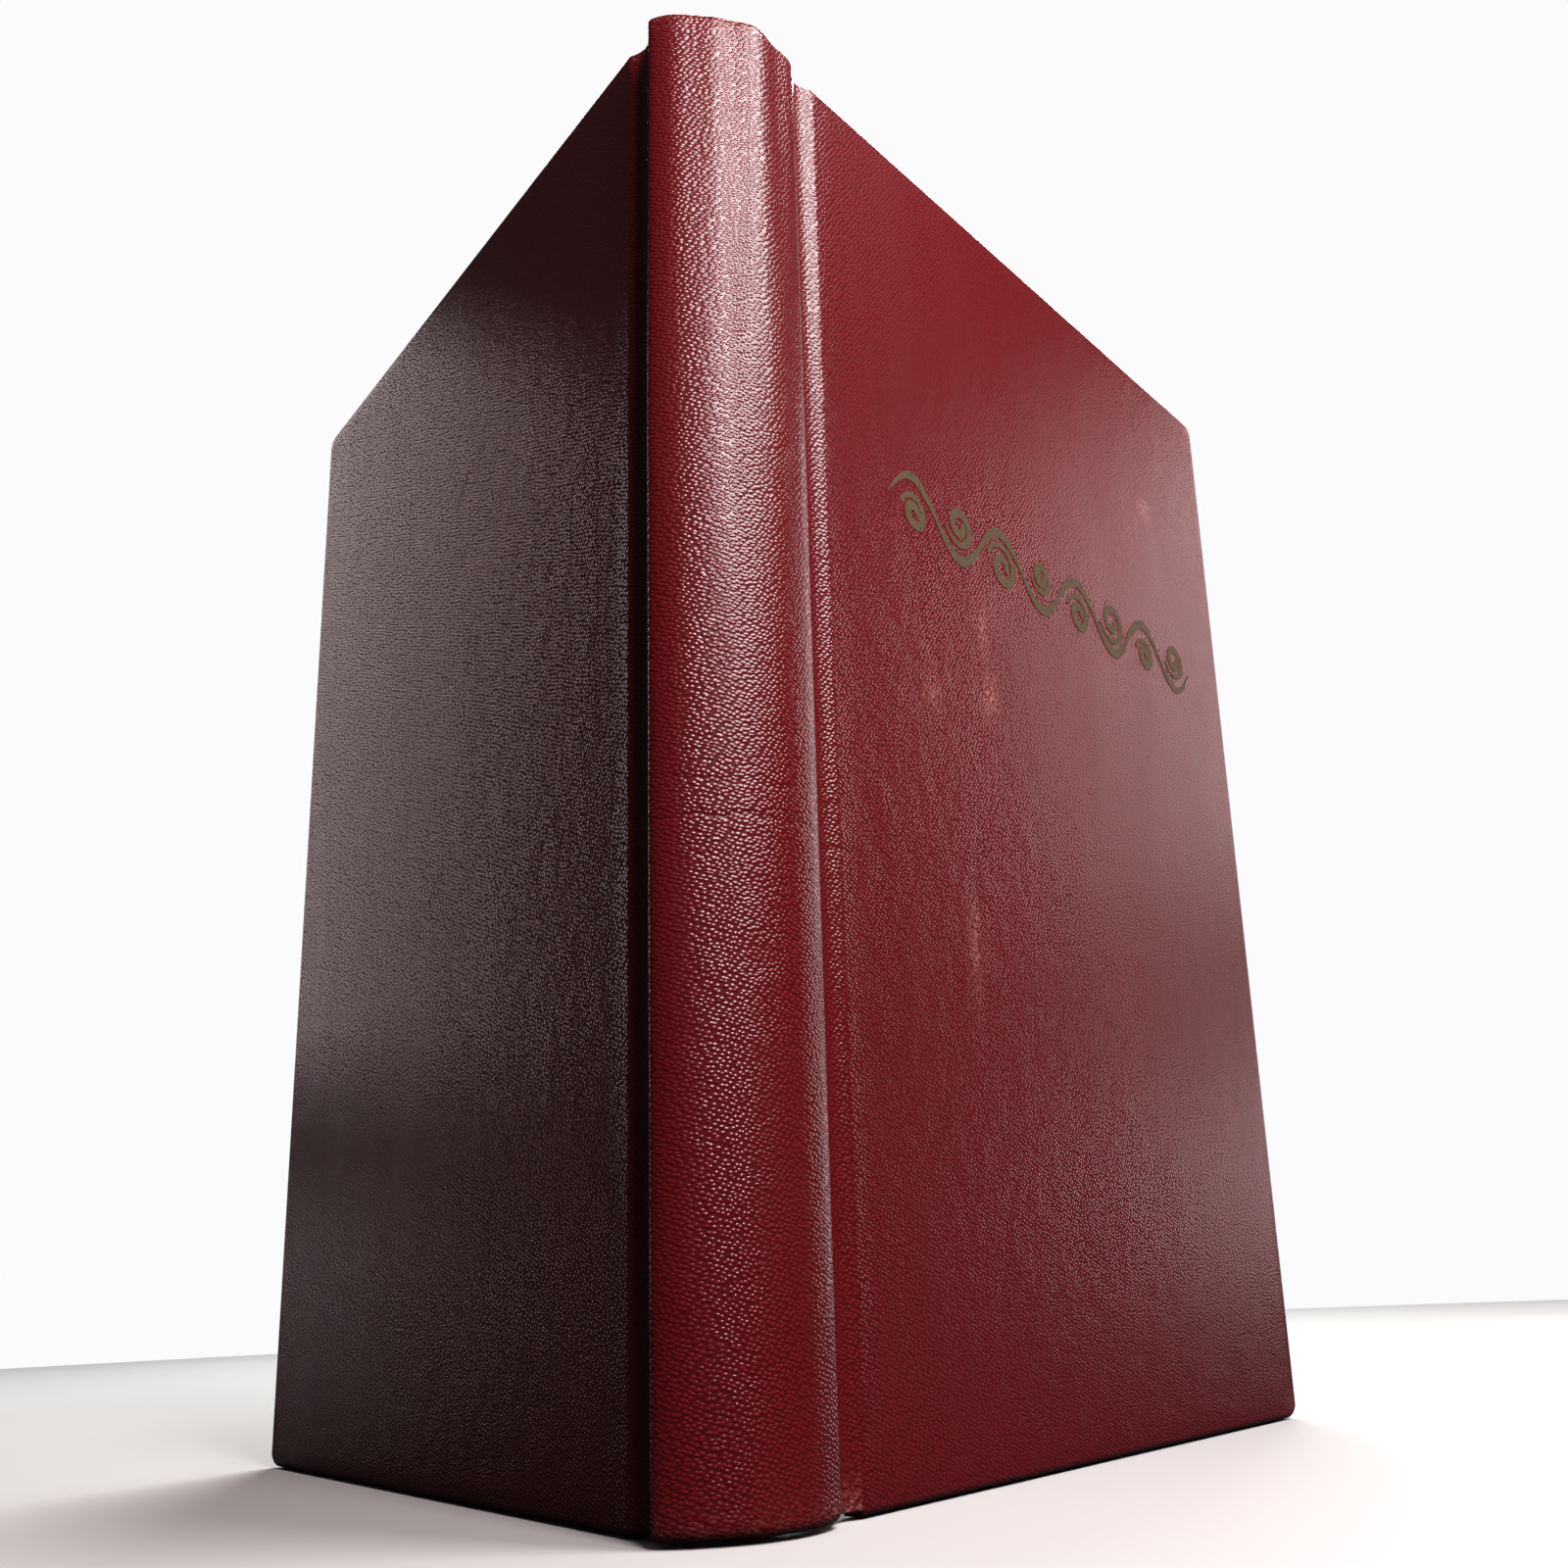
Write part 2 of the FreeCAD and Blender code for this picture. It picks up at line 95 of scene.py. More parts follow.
SPINE_END_GAP = 0.3 * MM
JOINT_END_GAP = 0.6 * MM
RIM_IN = 0.2 * MM
# Distances past the spine's round: where the cloth has thinned to the joint's thickness,
# where the two pieces of cloth meet on the back side, and where the bending starts.
JOINT_TAPER = 1.6 * MM
PARTING = 0.9 * MM
SECTION_PITCH = 1.02 * MM
SECTION_THICKNESS = 0.88 * MM
FOLD_RADIUS = 9.5 * MM
LEAF_WIDTH = 116.3 * MM
LEAF_LOW, LEAF_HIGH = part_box("section_05")[0].z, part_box("section_05")[1].z
LEAVES_PER_SECTION = 8
LEAF_TRIM = 0.1 * MM
FLYLEAF_TRIM = 4.2 * MM
SECTION_RATIOS = {1: 0.0, 2: 0.012, 3: 0.03, 4: 0.06, 5: 0.11}
FLYLEAF_RATIO = 0.6
HEADBAND_RADIUS = 9.3 * MM
HEADBAND_HALF_ANGLE = math.radians(28)


def hinge_point(side):
    x, y, _ = JOINTS[f"{side}_cover_hinge"]["pos_m"]
    return Vector((x, y, 0))


def opening_of(side):
    """How far the cover stands open from closed, in radians."""
    return math.radians(-JOINTS[f"{side}_cover_hinge"]["range_deg"][0])


HALF_HINGE = (hinge_point("front") - hinge_point("back")).length / 2
ACROSS = (hinge_point("front") - hinge_point("back")).normalized()
INTO = UP.cross(ACROSS)
BLOCK = Matrix.Translation((hinge_point("front") + hinge_point("back")) / 2) @ Matrix((
    (ACROSS.x, INTO.x, 0, 0),
    (ACROSS.y, INTO.y, 0, 0),
    (0, 0, 1, 0),
    (0, 0, 0, 1)))


def turn(point, angle):
    """A turn about the upright line through a point, anticlockwise from above."""
    return Matrix.Translation(point) @ Matrix.Rotation(angle, 4, "Z") @ Matrix.Translation(-point)


def on_side(side, point):
    """A point of the front half's frame, carried to the side it belongs to."""
    return Vector((point.x if side == "front" else -point.x, point.y, point.z))


# ------------------------------------------------------------------ materials


def srgb(code):
    """An sRGB hex colour as linear RGBA."""
    channels = [int(code[i:i + 2], 16) / 255 for i in (1, 3, 5)]
    return tuple(c / 12.92 if c <= 0.04045 else ((c + 0.055) / 1.055) ** 2.4
                 for c in channels) + (1.0,)


def add(tree, kind, inputs=None, **settings):
    """Adds one node with its settings, input values and links."""
    item = tree.nodes.new(kind)
    for name, value in settings.items():
        setattr(item, name, value)
    for socket, value in (inputs or {}).items():
        if isinstance(value, bpy.types.NodeSocket):
            tree.links.new(value, item.inputs[socket])
        else:
            item.inputs[socket].default_value = value
    return item


def new_material(name, colour, roughness, **principled):
    """A material with its Principled shader; returns the material, its tree and the shader."""
    material = bpy.data.materials.new(name)
    material.use_nodes = True
    tree = material.node_tree
    shader = tree.nodes["Principled BSDF"]
    shader.inputs["Base Color"].default_value = srgb(colour)
    shader.inputs["Roughness"].default_value = roughness
    for socket, value in principled.items():
        shader.inputs[socket.replace("_", " ")].default_value = value
    return material, tree, shader


def colour_mix(tree, factor, low, high):
    return add(tree, "ShaderNodeMix", {0: factor, 6: low, 7: high}, data_type="RGBA").outputs[2]


def coated_bookcloth():
    """Maroon pyroxylin-coated bookcloth, embossed with a pebbled leather grain.

    The coating gives a broad soft shine that each pebble breaks into glints. The valleys
    between pebbles are painted a deeper red and the pebble tops a lighter red, as painted shade."""
    material, tree, shader = new_material("coated_bookcloth", "#7a1219", 0.50, IOR=1.5,
                                         Specular_IOR_Level=0.15,
                                         Coat_Weight=1.0, Coat_Roughness=0.17)
    surface = add(tree, "ShaderNodeUVMap", uv_map="cloth").outputs[0]

    # Pebbles 0.6 mm apart in slanting rows 0.45 mm apart, a little uneven.
    drift = add(tree, "ShaderNodeTexNoise", {"Vector": surface, "Scale": 260.0, "Detail": 3.0})
    bent = add(tree, "ShaderNodeVectorMath",
               {0: drift.outputs["Color"], 1: (0.5, 0.5, 0.5)}, operation="SUBTRACT")
    bent = add(tree, "ShaderNodeVectorMath",
               {0: bent.outputs[0], 1: (0.0009, 0.0009, 0.0)}, operation="MULTIPLY")
    bent = add(tree, "ShaderNodeVectorMath", {0: surface, 1: bent.outputs[0]}, operation="ADD")
    laid = add(tree, "ShaderNodeMapping",
               {"Vector": bent.outputs[0], "Rotation": (0, 0, math.radians(28)),
                "Scale": (1 / 0.6, 1 / 0.42, 1.0)})
    pebbles = add(tree, "ShaderNodeTexVoronoi",
                  {"Vector": laid.outputs[0], "Scale": 1000.0, "Randomness": 0.55},
                  voronoi_dimensions="2D", feature="SMOOTH_F1")
    pebbles.inputs["Smoothness"].default_value = 0.3
    dome = add(tree, "ShaderNodeMapRange",
               {"Value": pebbles.outputs["Distance"], "From Min": 0.08, "From Max": 0.60,
                "To Min": 1.0, "To Max": 0.0}, interpolation_type="SMOOTHSTEP")

    # The weave of the base cloth shows through the coating as a faint 0.25 mm texture.
    weave = add(tree, "ShaderNodeTexNoise", {"Vector": surface, "Scale": 3600.0, "Detail": 1.0})
    # Threads of the base cloth run across the spine: ridges 0.6 mm apart, eight times as long.
    across = add(tree, "ShaderNodeMapping", {"Vector": surface, "Scale": (0.12, 1.0, 1.0)})
    threads = add(tree, "ShaderNodeTexNoise",
                  {"Vector": across.outputs[0], "Scale": 1700.0, "Detail": 2.0})
    # Two creases cross the spine about 67 and 71 mm above the tail.
    level = add(tree, "ShaderNodeSeparateXYZ", {0: surface}).outputs[1]
    stray = add(tree, "ShaderNodeTexNoise", {"Vector": surface, "Scale": 160.0, "Detail": 4.0})
    stray = add(tree, "ShaderNodeMath", {0: stray.outputs[0], 1: 0.004}, operation="MULTIPLY")
    level = add(tree, "ShaderNodeMath", {0: level, 1: stray.outputs[0]}, operation="ADD")
    level = add(tree, "ShaderNodeMapRange",
                {"Value": level.outputs[0], "From Min": 0.064, "From Max": 0.078})
    crease = add(tree, "ShaderNodeValToRGB", {0: level.outputs[0]})
    crease.color_ramp.elements[0].color = crease.color_ramp.elements[1].color = (1, 1, 1, 1)
    for at, depth in ((0.32, 0.0), (0.62, 0.45)):
        for step, shade in ((-0.045, 1.0), (0.0, depth), (0.045, 1.0)):
            stop = crease.color_ramp.elements.new(at + step)
            stop.color = (shade, shade, shade, 1)

    # Slow unevenness of the glued cloth over the board, in upright streaks 8 to 15 mm wide.
    upright = add(tree, "ShaderNodeMapping", {"Vector": surface, "Scale": (1.0, 0.3, 1.0)})
    swell = add(tree, "ShaderNodeTexNoise",
                {"Vector": upright.outputs[0], "Scale": 80.0, "Detail": 3.0})

    # The boards were pressed after covering, which left the pebbles lower there; the creases
    # stop at them.
    flat = add(tree, "ShaderNodeAttribute", attribute_name="pressed").outputs["Fac"]
    crease = add(tree, "ShaderNodeMath", {0: crease.outputs[0], 1: flat}, operation="MAXIMUM")
    height = add(tree, "ShaderNodeMapRange", {"Value": flat, "To Min": 1.0, "To Max": 0.7})
    height = add(tree, "ShaderNodeMath",
                 {0: height.outputs[0], 1: dome.outputs[0]}, operation="MULTIPLY")

    # Colour: painted shade, a deeper red in the valleys between the pebbles and a lighter red on
    # their tops; a little browner in patches.
    tone = colour_mix(tree, dome.outputs[0], srgb("#590b12"), srgb("#84141c"))
    patch = add(tree, "ShaderNodeMapRange",
                {"Value": swell.outputs[0], "From Min": 0.35, "From Max": 0.7})
    tone = colour_mix(tree, patch.outputs[0], tone, srgb("#6c1018"))
    # Rubbed places, where the coating has gone pale and dull.
    rubbed = add(tree, "ShaderNodeAttribute", attribute_name="wear").outputs["Fac"]
    crumb = add(tree, "ShaderNodeTexNoise", {"Vector": surface, "Scale": 1500.0, "Detail": 4.0})
    crumb = add(tree, "ShaderNodeMath", {0: crumb.outputs[0], 1: 0.42}, operation="SUBTRACT")
    rubbed = add(tree, "ShaderNodeMath", {0: crumb.outputs[0], 1: rubbed}, operation="MULTIPLY")
    rubbed = add(tree, "ShaderNodeMapRange", {"Value": rubbed.outputs[0], "From Max": 0.16})
    tone = colour_mix(tree, rubbed.outputs[0], tone, srgb("#b06a66"))
    tree.links.new(tone, shader.inputs["Base Color"])

    shine = add(tree, "ShaderNodeMapRange",
                {"Value": swell.outputs[0], "From Min": 0.3, "From Max": 0.7,
                 "To Min": 0.40, "To Max": 0.50})
    tree.links.new(shine.outputs[0], shader.inputs["Roughness"])

    relief = add(tree, "ShaderNodeBump",
                 {"Height": swell.outputs[0], "Strength": 0.35, "Distance": 0.00025})
    for pattern, depth in ((weave, 0.000005), (threads, 0.000012), (crease, 0.00005)):
        relief = add(tree, "ShaderNodeBump",
                     {"Height": pattern.outputs[0], "Strength": 1.0, "Distance": depth,
                      "Normal": relief.outputs[0]})
    relief = add(tree, "ShaderNodeBump",
                 {"Height": height.outputs[0], "Strength": 1.0, "Distance": 0.000055,
                  "Normal": relief.outputs[0]})
    tree.links.new(relief.outputs[0], shader.inputs["Normal"])
    tree.links.new(relief.outputs[0], shader.inputs["Coat Normal"])
    return material


def gilt_foil():
    """Gold foil pressed into the cloth: dull olive gold, worn thin in specks."""
    material, tree, shader = new_material("gilt_foil", "#6c5e44", 0.5, Metallic=0.5)
    place = add(tree, "ShaderNodeTexCoord").outputs["Object"]
    wear = add(tree, "ShaderNodeTexNoise", {"Vector": place, "Scale": 2600.0, "Detail": 3.0})
    worn = add(tree, "ShaderNodeMapRange",
               {"Value": wear.outputs[0], "From Min": 0.55, "From Max": 0.68})
    tone = colour_mix(tree, worn.outputs[0], srgb("#706146"), srgb("#523a2e"))
    tree.links.new(tone, shader.inputs["Base Color"])
    relief = add(tree, "ShaderNodeBump",
                 {"Height": wear.outputs[0], "Strength": 0.5, "Distance": 0.00005})
    tree.links.new(relief.outputs[0], shader.inputs["Normal"])
    return material


def paper(name, colour, fibre_colour, fibre_scale=1400.0):
    """Uncoated book paper: matt, with a faint cloud of fibres and a slight cockle."""
    material, tree, shader = new_material(name, colour, 0.82)
    place = add(tree, "ShaderNodeTexCoord").outputs["Object"]
    fibres = add(tree, "ShaderNodeTexNoise",
                 {"Vector": place, "Scale": fibre_scale, "Detail": 4.0, "Roughness": 0.7})
    cockle = add(tree, "ShaderNodeTexNoise", {"Vector": place, "Scale": 45.0, "Detail": 2.0})
    fleck = add(tree, "ShaderNodeMapRange",
                {"Value": fibres.outputs[0], "From Min": 0.35, "From Max": 0.75})
    tone = colour_mix(tree, fleck.outputs[0], srgb(colour), srgb(fibre_colour))
    tree.links.new(tone, shader.inputs["Base Color"])
    relief = add(tree, "ShaderNodeBump",
                 {"Height": cockle.outputs[0], "Strength": 0.3, "Distance": 0.0008})
    relief = add(tree, "ShaderNodeBump",
                 {"Height": fibres.outputs[0], "Strength": 0.3, "Distance": 0.00004,
                  "Normal": relief.outputs[0]})
    tree.links.new(relief.outputs[0], shader.inputs["Normal"])
    return material


def woven(name, colour, thread_mm, roughness=0.8):
    """Open-weave cotton: two crossing sets of threads."""
    material, tree, shader = new_material(name, colour, roughness)
    place = add(tree, "ShaderNodeTexCoord").outputs["Object"]
    bands = []
    for direction in ("Z", "X"):
        wave = add(tree, "ShaderNodeTexWave",
                   {"Vector": place, "Scale": 1000.0 / thread_mm / 3.14, "Distortion": 0.6},
                   bands_direction=direction)
        bands.append(wave.outputs["Fac"])
    weave = add(tree, "ShaderNodeMath", {0: bands[0], 1: bands[1]}, operation="MAXIMUM")
    relief = add(tree, "ShaderNodeBump",
                 {"Height": weave.outputs[0], "Strength": 0.7, "Distance": 0.00012})
    tree.links.new(relief.outputs[0], shader.inputs["Normal"])
    return material


def striped_silk():
    """Headband silk: cream and dark red threads wound over a core, 0.9 mm to a stripe pair."""
    material, tree, shader = new_material("striped_headband_silk", "#e8dcc4", 0.45)
    shader.inputs["Sheen Weight"].default_value = 0.3
    surface = add(tree, "ShaderNodeUVMap", uv_map="cloth").outputs[0]
    stripe = add(tree, "ShaderNodeTexWave",
                 {"Vector": surface, "Scale": 1000.0 / 0.9 / 6.28}, bands_direction="X")
    edge = add(tree, "ShaderNodeMapRange",
               {"Value": stripe.outputs["Fac"], "From Min": 0.45, "From Max": 0.55})
    tone = colour_mix(tree, edge.outputs[0], srgb("#e3d6ba"), srgb("#7c1a22"))
    tree.links.new(tone, shader.inputs["Base Color"])
    threads = add(tree, "ShaderNodeTexWave",
                  {"Vector": surface, "Scale": 1000.0 / 0.22 / 6.28}, bands_direction="X")
    relief = add(tree, "ShaderNodeBump",
                 {"Height": threads.outputs["Fac"], "Strength": 0.8, "Distance": 0.00006})
    tree.links.new(relief.outputs[0], shader.inputs["Normal"])
    return material


CLOTH = coated_bookcloth()
GILT = gilt_foil()
PAGE = paper("uncoated_cream_page_paper", "#e9dfc6", "#d9cba9")
ENDPAPER = paper("laid_endpaper", "#eee6d2", "#ddd1b4", 900.0)
GREYBOARD = paper("grey_millboard", "#8c8273", "#6f675b", 1100.0)
KRAFT = paper("brown_kraft_paper", "#a3835c", "#8a6c48", 1200.0)
MULL = woven("open_weave_mull", "#cfc7b2", 0.8)
THREAD = woven("linen_sewing_thread", "#e6e0d2", 0.3)
SILK = striped_silk()
GLUE = new_material("flexible_spine_glue", "#d8cfae", 0.4)[0]

CAD_FINISHES = {
    "board": GREYBOARD, "inlay": GREYBOARD, "infill": KRAFT, "lining": KRAFT,
    "mull": MULL, "thread": THREAD, "glue": GLUE, "pastedown": ENDPAPER,
    "endpaper": ENDPAPER,
}

# ------------------------------------------------------------------ mesh helpers


def finish_piece(piece, material, replaced=()):
    piece.data.materials.clear()
    piece.data.materials.append(material)
    for face in piece.data.polygons:
        face.use_smooth = True
    if replaced:
        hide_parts(*replaced)
    return piece


def swept_piece(name, rings, uv_rings, attributes=()):
    """A closed tube through rings of equal length, each ring a closed loop of points."""
    mesh = bmesh.new()
    uv_layer = mesh.loops.layers.uv.new("cloth")
    grid = [[mesh.verts.new(point) for point in ring] for ring in rings]
    count = len(grid[0])
    for i in range(len(grid) - 1):
        for j in range(count):
            k = (j + 1) % count
            face = mesh.faces.new((grid[i][j], grid[i + 1][j], grid[i + 1][k], grid[i][k]))
            u0, u1 = uv_rings[i][0], uv_rings[i + 1][0]
            v0, v1 = uv_rings[i][1][j], uv_rings[i][1][j + 1]
            for loop, uv in zip(face.loops, ((u0, v0), (u1, v0), (u1, v1), (u0, v1))):
                loop[uv_layer].uv = uv
    for ring, order in ((grid[0], 1), (grid[-1], -1)):
        cap = mesh.faces.new(ring[::order])
        for loop in cap.loops:
            loop[uv_layer].uv = (loop.vert.co.x, loop.vert.co.z)
    bmesh.ops.recalc_face_normals(mesh, faces=mesh.faces[:])
    data = bpy.data.meshes.new(name)
    mesh.to_mesh(data)
    mesh.free()
    for title, values in dict(attributes).items():
        data.attributes.new(title, "FLOAT", "POINT").data.foreach_set("value", values)
    piece = bpy.data.objects.new(name, data)
    bpy.context.scene.collection.objects.link(piece)
    return piece


# ------------------------------------------------------------------ case: one cloth skin


def shoulder_end(opening):
    """Where the cloth leaves the shoulder's round, counted from the spine's middle."""
    return SHOULDER_WRAP_CLOSED - SHOULDER_UNWRAP_RATIO * opening


def arc_points(centre, radius, start, end, step):
    """Points along an arc; angles run from -Y towards +X."""
    count = max(2, round(abs(end - start) * radius / step))
    for n in range(count):
        angle = start + (end - start) * n / count
        yield centre + Vector((math.sin(angle), -math.cos(angle), 0)) * radius


def cover_point(opening, along, inward):
    """A point of the opened cover: along it from the hinge, and in from its outer face."""
    hinge = Vector((HALF_HINGE, 0, 0))
    return turn(hinge, -opening) @ Vector((COVER_FACE - inward, along, 0))


# Steps along the cloth: round the spine, over the shoulder and groove and the board's first
# 3 mm, and over the rest of the board up to the rounding before its fore edge.
SPINE_STEP = 0.35 * MM
FINE = 0.12 * MM
FINE_ON_COVER = 3.0 * MM
COVER_STEP = 1.6 * MM
FORE_EDGE_ZONE = 3.2 * MM
SMOOTHING_ROUNDS = 14


def outer_path(opening):
    """The cloth's outer line from the spine's middle over shoulder and groove to the fore
    edge, as points with the kind of ground under each: spine, joint or cover."""
    centre = Vector((0, SPINE_CENTRE, 0))
    path = [(p, "spine") for p in
            arc_points(centre, SPINE_RADIUS, 0.0, SPINE_HALF_ANGLE, SPINE_STEP)]
    reach = SPINE_RADIUS - SHOULDER_RADIUS
    shoulder = centre + reach * Vector((math.sin(SPINE_HALF_ANGLE), -math.cos(SPINE_HALF_ANGLE), 0))
    end = shoulder_end(opening)
    path += [(p, "joint") for p in
             arc_points(shoulder, SHOULDER_RADIUS, SPINE_HALF_ANGLE, end, FINE)]
    start = shoulder + SHOULDER_RADIUS * Vector((math.sin(end), -math.cos(end), 0))
    edge = cover_point(opening, JOINT_WIDTH, 0)
    chord = edge - start
    left = UP.cross(chord).normalized()
    steps = round(chord.length / FINE)
    for n in range(steps):
        share = n / steps
        sag = GROOVE_DEPTH * math.sin(math.pi * share) ** 0.8
        path.append((start + chord * share + left * sag, "joint"))
    along = 0.0
    while along < COVER_WIDTH - FORE_EDGE_ZONE:
        path.append((cover_point(opening, JOINT_WIDTH + along, 0), "cover"))
        along += FINE if along < FINE_ON_COVER else COVER_STEP
    fore = [CORNER_RADIUS * (1 - math.sin(math.pi / 2 * n / 10)) for n in range(10)]
    fore += [COVER_RIM * (1 - math.sin(math.pi / 2 * n / 5)) for n in range(1, 6)]
    for before_edge in sorted(set(fore), reverse=True):
        path.append((cover_point(opening, JOINT_WIDTH + COVER_WIDTH - before_edge, 0), "cover"))
    return path


def smooth_joint(points, kinds, rounds):
    """Eases the kinks where shoulder, groove and board edge meet. The board's fore edge,
    which is finely stepped too, stays as it is."""
    movable = [i for i in range(1, len(points) - 1)
               if kinds[i] == "joint" or (kinds[i] == "cover" and
                                          (points[i] - points[i + 1]).length < 0.2 * MM)]
    movable = [i for i in movable if i < len(points) - 30]
    for _ in range(rounds):
        moved = {i: (points[i - 1] + 2 * points[i] + points[i + 1]) / 4 for i in movable}
        for i, point in moved.items():
            points[i] = point
    return points


def ease(low, high, value):
    share = min(1.0, max(0.0, (value - low) / (high - low)))
    return share * share * (3 - 2 * share)


def round_in(radius, distance):
    """How far a quarter round of this radius has fallen back at a distance from its edge."""
    if distance >= radius:
        return 0.0
    return radius - math.sqrt(max(0.0, radius ** 2 - (radius - distance) ** 2))


# How far the back shoulder of the spine has spread.
BACK_SHOULDER_SPREAD = 0.75 * MM
# Where the head of the spine is pressed in: degrees from the spine's middle towards the
# front cover, half width in degrees, depth in millimetres.
HEAD_PRESSES = [(-24, 16, 0.7), (-4, 9, 0.5), (30, 12, 0.6)]
# The back shoulder is pressed in too, in millimetres.
HEAD_SHOULDER_PRESS = 0.45


def settle_spine(point):
    """The hollow spine's set from use: its back shoulder a little spread, and its head
    pressed to a broad flat in front and a small one towards the front cover."""
    out = Vector((point.x, point.y - SPINE_CENTRE, 0))
    angle = math.degrees(math.atan2(out.x, -out.y))
    if point.x < 0:
        spread = ease(3.0 * MM, 8.0 * MM, -point.x) * (1 - ease(0.0, 4.5 * MM, point.y))
        point = point - Vector((BACK_SHOULDER_SPREAD * spread, 0, 0))
    # Only the spine's own cloth and card are pressed: up to 66 degrees from the middle, and
    # 9 to 13 mm from the centre of the round.
    if abs(angle) > 66 or out.length > 13 * MM or out.length < 9 * MM:
        return point
    pressed = HEAD_SHOULDER_PRESS * ease(30, 48, -angle)
    for middle, width, depth in HEAD_PRESSES:
        pressed += depth * math.exp(-((angle - middle) / width) ** 2)
    pressed *= ease(0.66 * COVER_HEIGHT, COVER_HEIGHT, point.z)
    pressed *= 1 - ease(54, 66, abs(angle))
    # The card inside gives less than the cloth, except at the very head.
    if out.length < 11.2 * MM:
        pressed *= 0.3 + 0.5 * ease(0.93 * COVER_HEIGHT, 0.98 * COVER_HEIGHT, point.z)
    return point - out.normalized() * pressed * MM


def case_ring(point, inward, thickness, start, low, high, rim_out, rim_in):
    """One closed ring of the case: outer face, head edge, inner face, tail edge."""
    tall = 90
    bend = 5
    profile = []
    for n in range(tall + 1):
        profile.append((start, low + rim_out + (high - low - 2 * rim_out) * n / tall))
    for n in range(1, bend + 1):
        a = math.pi / 2 * n / bend
        profile.append((start + rim_out * (1 - math.cos(a)), high - rim_out * (1 - math.sin(a))))
    for n in range(bend + 1):
        a = math.pi / 2 * n / bend
        profile.append((thickness - rim_in * (1 - math.sin(a)), high - rim_in * (1 - math.cos(a))))
    for n in range(1, tall + 1):
        profile.append((thickness, high - rim_in - (high - low - 2 * rim_in) * n / tall))
    for n in range(1, bend + 1):
        a = math.pi / 2 * n / bend
        profile.append((thickness - rim_in * (1 - math.cos(a)), low + rim_in * (1 - math.sin(a))))
    for n in range(bend):
        a = math.pi / 2 * n / bend
        profile.append((start + rim_out * (1 - math.sin(a)), low + rim_out * (1 - math.cos(a))))
    ring = [point + inward * depth + UP * height for depth, height in profile]
    run = [0.0]
    for n in range(len(profile)):
        a, b = profile[n], profile[(n + 1) % len(profile)]
        run.append(run[-1] + math.hypot(a[0] - b[0], a[1] - b[1]))
    return ring, [r + low + rim_out for r in run]


# Scuffs on the front cover, in millimetres: distance from the groove, height above the tail,
# half width, half height.
SCUFFS = [(33.8, 102.6, 0.9, 3.0), (34.4, 93.3, 1.6, 2.6), (20.3, 89.7, 1.5, 1.5),
          (27.0, 60.0, 1.1, 5.0), (88.0, 140.0, 2.0, 1.2)]


def wear_at(side, kind, along, to_edge, across, height):
    """How rubbed the cloth is at a place, from 0 to 1: the head and tail of the spine, the
    tail corner of its front shoulder, the edges and corners of the covers, and the scuffs.
    On the spine, across is the distance from its middle towards the front cover."""
    to_end = min(height, COVER_HEIGHT - height)
    if kind != "cover":
        tail_corner = ease(4.5 * MM, 8.5 * MM, across) * math.exp(-(height / (2.4 * MM)) ** 2)
        return 0.45 * math.exp(-to_end / (1.1 * MM)) + 0.6 * tail_corner
    rubbed = 0.07 * math.exp(-(to_end / (0.8 * MM)) ** 2)
    rubbed += 0.07 * math.exp(-(to_edge / (0.8 * MM)) ** 2)
    rubbed += 0.9 * math.exp(-(math.hypot(to_end, to_edge) / (3.2 * MM)) ** 2)
    if side == "front":
        for x, z, wide, high in SCUFFS:
            away = math.hypot((along - x * MM) / (wide * MM), (height - z * MM) / (high * MM))
            rubbed += 0.75 * math.exp(-away ** 2)
    return min(1.0, rubbed)


def half_path(side):
    """One side's outer line, eased, with each point's distance past the spine's arc."""
    path = outer_path(opening_of(side))
    kinds = [kind for _, kind in path]
    points = smooth_joint([p for p, _ in path], kinds, SMOOTHING_ROUNDS)
    first_joint = kinds.index("joint")
    return [(on_side(side, p), kind, max(0.0, (i - first_joint) * FINE))
            for i, (p, kind) in enumerate(zip(points, kinds))]


